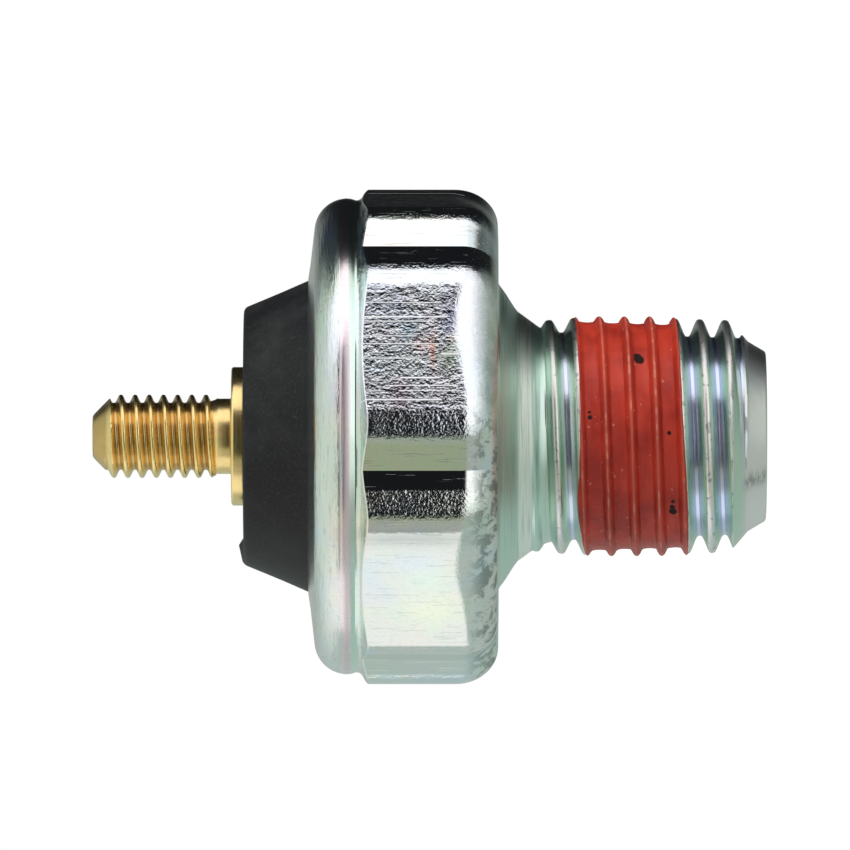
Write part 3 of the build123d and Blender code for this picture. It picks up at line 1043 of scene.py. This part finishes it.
def body_rings(sizes, port, angles, lobes):
    """Rings of the body in order, from the top of its thread round to the thread's lower end."""
    lobed_angles, lobed_reaches = lobes
    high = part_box("hex_body")[1]
    apothem = high.x
    top = high.z
    collar = apothem - sizes.collar_step
    shoulder = sizes.shoulder_height
    hexagon_top = shoulder + sizes.hexagon_height
    chamber = collar - sizes.wall
    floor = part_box("diaphragm")[0].z
    recess_floor = floor - sizes.recess_depth
    groove_outer = chamber - sizes.seal_land
    groove_inner = groove_outer - sizes.groove_width
    recess = groove_inner - sizes.seal_land
    lip_under = top - sizes.lip_thickness
    lip_foot = sizes.lip_radius + tan(sizes.lip_cone) * sizes.lip_thickness

    flare_foot = sizes.flare_waist - FLARE_SLOPE * (sizes.flare_waist_height - port.high_end)
    flare = [(flare_foot, port.high_end), (sizes.flare_waist, sizes.flare_waist_height)]
    flare += [(reach * MM, height * MM) for reach, height in FLARE_RISE]
    flare.append((FLARE_TOP, shoulder))
    rings = [ring_points(angles, reach, height) for reach, height in flare]

    rounds = []
    for turn in lobed_angles:
        aside = apothem * tan(((turn + radians(30)) % radians(60)) - radians(30)) - sizes.flat_skew
        swell = exp(-(aside / sizes.flat_reach) ** 2)
        rounds.append((sizes.shoulder_round, sizes.shoulder_round + sizes.flat_round * swell))
    round_steps = 14
    for index in range(round_steps + 1):
        bend = radians(90 * index / round_steps)
        reaches = [
            reach * (1 - inward * (1 - sin(bend)) / apothem)
            for reach, (inward, _) in zip(lobed_reaches, rounds)
        ]
        heights = [shoulder + upward * (1 - cos(bend)) for _, upward in rounds]
        rings.append(ring_points(lobed_angles, reaches, heights))
    foot = collar - 0.10 * MM

    def chamfer_height(reach):
        """Height of the hexagon's chamfer at a radius, with the fillet at the collar's foot."""
        near = foot + sizes.collar_foot - reach
        if near < sizes.collar_foot * sin(sizes.chamfer_angle):
            return hexagon_top - (reach - foot) * tan(sizes.chamfer_angle)
        lean = (1 - sin(sizes.chamfer_angle)) / cos(sizes.chamfer_angle)
        bend = max(0.0, sizes.collar_foot ** 2 - near ** 2) ** 0.5
        return hexagon_top + sizes.collar_foot * lean - bend

    edge_break = 0.06 * MM
    edge_heights = [chamfer_height(reach) - edge_break for reach in lobed_reaches]
    rings.append(ring_points(lobed_angles, lobed_reaches, edge_heights))
    for part in (0.0, 0.3, 0.55, 0.75, 0.88, 0.96, 1.0):
        inset = [
            max(foot, reach - (edge_break * 0.5 if part == 0 else 0) - (reach - foot) * part)
            for reach in lobed_reaches
        ]
        rings.append(ring_points(lobed_angles, inset, [chamfer_height(reach) for reach in inset]))
    bulge_lean = degrees((sizes.roll_height - sizes.bulge_height) / sizes.collar_bulge)
    widest = collar + 0.01 * MM
    bulge_centre = widest - sizes.collar_bulge
    roll_centre = widest - sizes.collar_round
    roll_level = sizes.roll_height - 0.42 * MM
    turned = arc(bulge_centre, sizes.bulge_height, sizes.collar_bulge, -24, bulge_lean, 8)
    turned += arc(roll_centre, roll_level, sizes.collar_round, 14.2, 84, 14)
    turned += [
        (sizes.lip_radius + 0.9 * MM, top - 0.12 * MM),
        (sizes.lip_radius + 0.15 * MM, top - 0.005 * MM),
        (sizes.lip_radius + 0.03 * MM, top - 0.03 * MM),
        (sizes.lip_radius + 0.06 * MM, top - 0.15 * MM),
        (lip_foot, lip_under),
        (chamber, lip_under),
        (chamber, floor),
        (groove_outer, floor),
        (groove_outer, recess_floor),
        (groove_inner, recess_floor),
        (groove_inner, floor),
        (recess, floor),
        (recess, recess_floor),
    ]
    rings += [ring_points(lobed_angles, reach, height) for reach, height in turned]

    orifice_low = recess_floor - sizes.orifice_length
    port_outline = [
        (sizes.orifice_radius, recess_floor),
        (sizes.orifice_radius, orifice_low),
        (sizes.bore_radius, orifice_low - sizes.drill_point),
        (sizes.bore_radius, 0.35 * MM),
        (sizes.bore_radius + 0.3 * MM, 0.0),
        (sizes.end_radius - 0.06 * MM, 0.0),
        (sizes.end_radius + 0.02 * MM, 0.03 * MM),
        (sizes.end_radius + 0.1 * MM, 0.12 * MM),
        (THREAD_START, port.low_end),
    ]
    return rings + [ring_points(angles, reach, height) for reach, height in port_outline]


class SENDER_OT_body(bpy.types.Operator):
    """Make the steel body with its tapered thread"""

    bl_idname = "sender.body"
    bl_label = "Steel body"

    def execute(self, context):
        sizes = context.scene.sender_body
        port = context.scene.sender_port
        material = zinc_finish(context.scene.sender_finish.zinc)
        angles = even_angles(port.columns)
        lobes = lobed_outline(sizes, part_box("hex_body")[1].x)
        mesh = bmesh.new()
        loft(mesh, body_rings(sizes, port, angles, lobes))
        piece = finished(mesh, "body_dressed", material)
        run_tree(piece, thread_tree(), port_thread_values(port, sizes, material))
        smooth(piece, 38, (sizes.shoulder_height, sizes.shoulder_height + sizes.hexagon_height), 14)
        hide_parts("hex_body")
        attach(piece, "housing")
        return {"FINISHED"}


class SENDER_OT_sealant(bpy.types.Operator):
    """Make the band of dried sealant"""

    bl_idname = "sender.sealant"
    bl_label = "Sealant"

    def execute(self, context):
        sizes = context.scene.sender_sealant
        port = context.scene.sender_port
        material = sealant_finish(context.scene.sender_finish.sealant)
        piece = finished(bmesh.new(), "sealant_dressed", material)
        values = port_thread_values(port, context.scene.sender_body, material)
        own = ("rows", "low_crest", "high_crest", "film", "fill", "sag")
        values.update(labelled(sizes, own))
        run_tree(piece, sealant_tree(), values)
        smooth(piece, 50)
        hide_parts("thread_sealant")
        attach(piece, "housing")
        return {"FINISHED"}


class SENDER_OT_insulator(bpy.types.Operator):
    """Make the black moulding with its gate mark"""

    bl_idname = "sender.insulator"
    bl_label = "Insulator"

    def execute(self, context):
        sizes = context.scene.sender_insulator
        body = context.scene.sender_body
        material = moulding_finish(context.scene.sender_finish.moulding)
        low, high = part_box("insulator")
        washer_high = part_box("terminal_washer")[1]
        hole = context.scene.sender_stud.shank_radius + 0.02 * MM
        slope = tan(body.lip_cone)
        lip_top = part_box("hex_body")[1].z
        lip_under = lip_top - body.lip_thickness

        def cone(height):
            return body.lip_radius - 0.02 * MM + slope * (lip_top - height)

        edge = sizes.edge_round
        shoulder = high.z - edge
        bend_centre = cone(shoulder) - edge
        angles = even_angles(sizes.columns)
        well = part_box("contact_disc")[1].x + 0.8 * MM
        chamfer = 0.3 * MM
        above_lip = lip_top + 1.5 * MM
        outline = [
            (well, low.z),
            (high.x - chamfer, low.z),
            (high.x, low.z + chamfer),
            (high.x, lip_under),
            (cone(lip_under), lip_under),
            (cone(lip_top), lip_top),
            (cone(above_lip), above_lip),
        ]
        outline += arc(bend_centre, shoulder, edge, 22, 90, 7)
        inmost = 5.0 * MM
        spacing = 0.22 * MM
        outline += [(inmost + spacing * index, high.z) for index in range(7, -1, -1)]
        outline += [(hole, high.z), (hole, washer_high.z), (well, washer_high.z)]
        mark = Vector((cos(sizes.nub_angle), sin(sizes.nub_angle))) * sizes.nub_radius
        rings = []
        for reach, height in outline:
            points = ring_points(angles, reach, height)
            if height > shoulder and reach > 4.5 * MM:
                points = [
                    (x, y, z + sizes.nub_height * self.swell(Vector((x, y)), mark))
                    for x, y, z in points
                ]
            rings.append(points)
        mesh = bmesh.new()
        made = loft(mesh, rings)
        bridge(mesh, made[-1], made[0])
        piece = finished(mesh, "insulator_dressed", material)
        smooth(piece)
        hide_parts("insulator")
        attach(piece, "housing")
        return {"FINISHED"}

    @staticmethod
    def swell(point, mark):
        """Height of the gate mark as a share, from the distance to its middle."""
        half_width = 0.9 * MM
        outer_length = 1.35 * MM
        inner_length = 0.35 * MM
        outward = mark.normalized()
        offset = (point - mark).dot(outward)
        aside = (point - mark).dot(outward.orthogonal()) / half_width
        fall = offset / outer_length if offset > 0 else -offset / inner_length
        return max(0.0, 1 - aside * aside) * max(0.0, 1 - fall)


class SENDER_OT_stud(bpy.types.Operator):
    """Make the brass terminal with its thread"""

    bl_idname = "sender.stud"
    bl_label = "Terminal stud"

    def execute(self, context):
        sizes = context.scene.sender_stud
        material = brass_finish("terminal_brass", context.scene.sender_finish.brass)
        low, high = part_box("terminal_stud")
        washer_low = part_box("terminal_washer")[0]
        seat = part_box("insulator")[1].z
        collar_top = seat + 0.7 * MM
        thread_low = collar_top + 0.75 * MM
        tip_base = high.z - 0.42 * MM
        edge = sizes.collar_break
        rivet = 2.7 * MM
        rivet_break = 0.2 * MM
        collar_edge = 0.05 * MM
        fillet = 0.08 * MM
        angles = even_angles(sizes.columns)
        lower = [
            (rivet - rivet_break, low.z),
            (rivet, low.z + rivet_break),
            (rivet, washer_low.z),
            (sizes.shank_radius, washer_low.z),
            (sizes.shank_radius, seat),
            (sizes.collar_radius - collar_edge, seat),
            (sizes.collar_radius, seat + collar_edge),
        ]
        lower += arc(sizes.collar_radius - edge, collar_top - edge, edge, 0, 90, 5)
        lower += [
            (sizes.shank_radius + fillet, collar_top),
            (sizes.shank_radius, collar_top + fillet),
            (sizes.shank_radius, thread_low),
        ]
        tip_low_reach = 1.6 * MM
        upper = [
            (tip_low_reach, tip_base),
            (sizes.tip_radius, high.z - 0.08 * MM),
            (sizes.tip_radius - 0.12 * MM, high.z),
        ]
        mesh = bmesh.new()
        made = loft(mesh, [ring_points(angles, reach, height) for reach, height in lower])
        mesh.faces.new(made[0])
        made = loft(mesh, [ring_points(angles, reach, height) for reach, height in upper])
        mesh.faces.new(made[-1])
        piece = finished(mesh, "stud_dressed", material)
        values = {
            **labelled(sizes, THREAD_SETTINGS),
            "Taper": 0.0,
            "Low end": thread_low,
            "High end": tip_base,
            "Low cap": sizes.shank_radius,
            "Low cap slope": 0.6,
            "High cap": tip_low_reach,
            "High cap slope": 1.0,
            "Low floor": sizes.shank_radius,
            "Low floor slope": 0.35,
            "High floor": tip_low_reach,
            "High floor slope": 1.0,
            "Run-out": 0.0,
            "Run-out slope": 0.0,
            "Crest top": sizes.crest_radius,
            "Crest limit": 2 * sizes.crest_radius,
            "Crest limit slope": 0.0,
            "Material": material,
        }
        run_tree(piece, thread_tree(), values)
        smooth(piece)
        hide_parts("terminal_stud")
        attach(piece, "housing")
        return {"FINISHED"}


class SENDER_OT_spring(bpy.types.Operator):
    """Make the contact spring as one fixed coil; in the sender it shortens as the contact lifts"""

    bl_idname = "sender.spring"
    bl_label = "Contact spring"

    def execute(self, context):
        sizes = context.scene.sender_spring
        material = plain_finish("spring_steel", (0.5, 0.5, 0.5), 1.0, 0.25, 2500)
        low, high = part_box("contact_spring")
        wire_radius = sizes.wire / 2
        piece = finished(bmesh.new(), "contact_spring_dressed", material)
        run_tree(piece, spring_tree(), {
            "Mean radius": high.x - wire_radius,
            "Wire radius": wire_radius,
            "Foot": low.z + wire_radius,
            "Climb": high.z - low.z - sizes.wire,
            **labelled(sizes, ("turns", "steps", "sides")),
            "Material": material,
        })
        smooth(piece)
        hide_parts("contact_spring")
        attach(piece, "housing")
        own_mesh(piece)
        return {"FINISHED"}


class SENDER_OT_inner_pieces(bpy.types.Operator):
    """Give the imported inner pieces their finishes"""

    bl_idname = "sender.inner_pieces"
    bl_label = "Inner pieces"

    def execute(self, context):
        finish = context.scene.sender_finish
        contact_brass = brass_finish("contact_brass", finish.brass)
        finishes = {
            "seal_ring": plain_finish("seal_rubber", finish.rubber, 0.0, 0.6, 900),
            "diaphragm": plain_finish("film", finish.film, 0.0, 0.25, 500),
            "guide_plate": plain_finish("inner_steel", (0.55, 0.56, 0.56), 1.0, 0.32, 1200),
            "plunger": plain_finish("nylon", finish.nylon, 0.0, 0.45, 400),
            "contact_disc": contact_brass,
            "terminal_washer": contact_brass,
        }
        for node, material in finishes.items():
            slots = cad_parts[node].data.materials
            slots.clear()
            slots.append(material)
        return {"FINISHED"}


def stage_light(name, direction, distance, size, power, rise):
    """A soft area light on one side of the object, aimed at its middle."""
    data = bpy.data.lights.new(name, "AREA")
    data.shape = "SQUARE"
    data.size = size
    data.energy = power
    lamp = bpy.data.objects.new(name, data)
    target = Vector((0, 0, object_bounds()[1].z / 2))
    lamp.location = target + Vector((cos(direction), sin(direction), rise)) * distance
    lamp.rotation_euler = (lamp.location - target).to_track_quat("Z", "Y").to_euler()
    lamp.visible_glossy = False
    bpy.context.scene.collection.objects.link(lamp)


WALL_LEVEL = {
    "white": (1.0, 1.0, 1.0, 1),
    "pale": (0.76, 0.79, 0.77, 1),
    "cream": (0.66, 0.64, 0.56, 1),
    "pink": (0.62, 0.56, 0.54, 1),
    "mint": (0.50, 0.58, 0.52, 1),
    "moss": (0.31, 0.37, 0.33, 1),
    "olive": (0.27, 0.31, 0.215, 1),
    "grey": (0.32, 0.34, 0.32, 1),
    "steel": (0.36, 0.43, 0.41, 1),
    "navy": (0.020, 0.026, 0.036, 1),
    "black": (0.007, 0.008, 0.009, 1),
}
# colour stops by the angle from the camera towards the photograph's top edge, in degrees
LEVEL_WALL = (
    (0, "black"), (45.3, "black"), (45.9, "white"), (91.6, "white"), (92.4, "black"),
    (168, "black"), (180, "grey"), (200, "steel"), (248, "steel"), (255, "pale"), (290, "pale"),
    (292, "grey"), (308, "grey"), (320, "olive"), (323.4, "olive"), (324.4, "black"),
)
HIGH_WALL = (
    (0, "cream"), (22, "pink"), (40, "pale"), (52, "white"), (80, "white"), (90, "mint"),
    (97, "navy"), (150, "navy"), (180, "grey"), (200, "steel"), (260, "pale"), (310, "cream"),
    (340, "mint"),
)
LOW_WALL = (
    (0, "white"), (60, "white"), (88, "pale"), (94, "black"), (160, "black"), (180, "moss"),
    (230, "steel"), (292, "steel"), (300, "moss"), (325, "grey"), (345, "pale"),
)
LIGHTS = (
    # name, degrees from the photograph's top edge, distance, size, power and rise
    ("key_light", -22, 0.6, 0.45, 4.2, 0.1),
    ("fill_light", -130, 0.7, 0.6, 1.0, 0.2),
    ("back_light", 100, 0.7, 0.6, 2.0, 0.3),
)
FLOOR_RADIUS = 0.9
WALLS_RADIUS = 1.1


def surround_finish(view_angle, centre_height):
    """Studio walls as a shiny piece sees them: a softbox, dark flags and pale boards."""
    material = bpy.data.materials.new("studio_walls")
    material.use_nodes = True
    graph = Graph(material.node_tree)
    material.node_tree.nodes.clear()
    place = graph.term("ShaderNodeTexCoord", output="Object")
    _, _, z, reach, heading = graph.polar(place)
    quarter_turn = 0.25
    around = heading / (2 * pi) + 1 + quarter_turn - view_angle / (2 * pi)
    turn = graph.maths("FRACT", around)
    lift = graph.maths("ARCTAN2", z - centre_height, reach)

    def band(wall):
        stops = [(degree / 360, WALL_LEVEL[level]) for degree, level in wall]
        return graph.term("ShaderNodeValToRGB", {0: turn}, stops=stops)

    tint = graph.mix(graph.step(lift, radians(10), radians(26)), band(LEVEL_WALL), band(HIGH_WALL))
    tint = graph.mix(graph.step(lift, radians(36), radians(58)) * 0.85, tint, WALL_LEVEL["mint"])
    tint = graph.mix(graph.step(-lift, radians(8), radians(16)), tint, band(LOW_WALL))
    tint = graph.mix(graph.step(-lift, radians(30), radians(70)) * 0.85, tint, WALL_LEVEL["moss"])
    glow = graph.node("ShaderNodeEmission", {"Color": tint, "Strength": 1.35})
    out = graph.node("ShaderNodeOutputMaterial")
    graph.tree.links.new(glow.outputs[0], out.inputs[0])
    return material


def backdrop_rays(graph):
    """1 for camera, glossy and transmission rays."""
    path = graph.node("ShaderNodeLightPath")
    seen = Term(graph, path.outputs["Is Camera Ray"])
    for ray in ("Is Glossy Ray", "Is Transmission Ray"):
        seen = graph.larger(seen, Term(graph, path.outputs[ray]))
    return seen


def floor_finish():
    """Pale floor that keeps the object's shadow and stays white for the camera."""
    material = bpy.data.materials.new("floor_paper")
    material.use_nodes = True
    graph = Graph(material.node_tree)
    shader = material.node_tree.nodes["Principled BSDF"]
    graph.feed(shader.inputs["Base Color"], (0.86, 0.86, 0.85, 1))
    graph.feed(shader.inputs["Roughness"], 1.0)
    shader.inputs["Specular IOR Level"].default_value = 0.0
    glow = graph.node("ShaderNodeEmission", {"Color": (1, 1, 1, 1), "Strength": 1.2})
    blend = graph.node("ShaderNodeMixShader", {0: backdrop_rays(graph) * 0.8})
    graph.tree.links.new(shader.outputs[0], blend.inputs[1])
    graph.tree.links.new(glow.outputs[0], blend.inputs[2])
    out = material.node_tree.nodes["Material Output"]
    graph.tree.links.new(blend.outputs[0], out.inputs[0])
    return material


def white_world():
    """White behind the object, and a soft grey light from all round."""
    world = bpy.data.worlds.new("studio")
    bpy.context.scene.world = world
    world.use_nodes = True
    graph = Graph(world.node_tree)
    back = world.node_tree.nodes["Background"]
    graph.feed(back.inputs["Color"], (1, 1, 1, 1))
    graph.feed(back.inputs["Strength"], 0.3 + 0.7 * backdrop_rays(graph))


class SENDER_OT_stage(bpy.types.Operator):
    """Make the floor, the studio walls, the lights and the camera"""

    bl_idname = "sender.stage"
    bl_label = "Stage"

    def execute(self, context):
        sizes = context.scene.sender_stage
        white_world()

        mesh = bmesh.new()
        bmesh.ops.create_circle(mesh, cap_ends=True, segments=96, radius=FLOOR_RADIUS)
        floor = finished(mesh, "floor", floor_finish())
        floor.visible_glossy = False
        floor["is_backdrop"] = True

        mesh = bmesh.new()
        bmesh.ops.create_uvsphere(mesh, u_segments=96, v_segments=48, radius=WALLS_RADIUS)
        walls = finished(mesh, "studio_walls", surround_finish(sizes.view_angle, sizes.centre_height))
        walls.visible_camera = False
        walls.visible_diffuse = False
        walls.visible_shadow = False
        walls.visible_transmission = False
        walls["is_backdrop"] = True

        up = sizes.view_angle
        for name, side, distance, size, power, height in LIGHTS:
            stage_light(name, up + radians(side), distance, size, power, height)

        rise = Vector((cos(up), sin(up), 0))
        right = Vector((0, 0, -1))
        back = right.cross(rise)
        centre = rise * sizes.centre_rise + Vector((0, 0, sizes.centre_height))
        data = bpy.data.cameras.new("camera")
        data.sensor_width = 36
        data.lens = 36 * sizes.view_distance / sizes.view_width
        data.clip_start = 0.01
        data.clip_end = 10
        camera = bpy.data.objects.new("camera", data)
        turn = Matrix((right, rise, back)).transposed()
        camera.matrix_world = Matrix.Translation(centre + back * sizes.view_distance) @ turn.to_4x4()
        context.scene.collection.objects.link(camera)
        context.scene.camera = camera
        context.scene.view_settings.view_transform = "Standard"
        return {"FINISHED"}


class SENDER_PT_panel(bpy.types.Panel):
    """Lists the sender's pieces"""

    bl_idname = "SENDER_PT_panel"
    bl_label = "Oil Pressure Sender"
    bl_space_type = "VIEW_3D"
    bl_region_type = "UI"
    bl_category = "Sender"

    def draw(self, context):
        for operator in OPERATORS:
            self.layout.operator(operator.bl_idname)


SETTINGS = {
    "sender_port": PortThreadSettings,
    "sender_stud": StudSettings,
    "sender_body": BodySettings,
    "sender_sealant": SealantSettings,
    "sender_insulator": InsulatorSettings,
    "sender_spring": SpringSettings,
    "sender_finish": FinishSettings,
    "sender_stage": StageSettings,
}
OPERATORS = (
    SENDER_OT_body,
    SENDER_OT_sealant,
    SENDER_OT_insulator,
    SENDER_OT_stud,
    SENDER_OT_spring,
    SENDER_OT_inner_pieces,
    SENDER_OT_stage,
)


def register():
    """Registers the settings, operators and panel."""
    for name, group in SETTINGS.items():
        bpy.utils.register_class(group)
        setattr(bpy.types.Scene, name, PointerProperty(type=group))
    for operator in OPERATORS:
        bpy.utils.register_class(operator)
    bpy.utils.register_class(SENDER_PT_panel)


def unregister():
    """Takes the settings, operators and panel away again."""
    bpy.utils.unregister_class(SENDER_PT_panel)
    for operator in reversed(OPERATORS):
        bpy.utils.unregister_class(operator)
    for name, group in SETTINGS.items():
        delattr(bpy.types.Scene, name)
        bpy.utils.unregister_class(group)


def main():
    """Builds everything."""
    register()
    bpy.ops.sender.body()
    bpy.ops.sender.sealant()
    bpy.ops.sender.insulator()
    bpy.ops.sender.stud()
    bpy.ops.sender.spring()
    bpy.ops.sender.inner_pieces()
    bpy.ops.sender.stage()


if __name__ == "__main__":
    main()
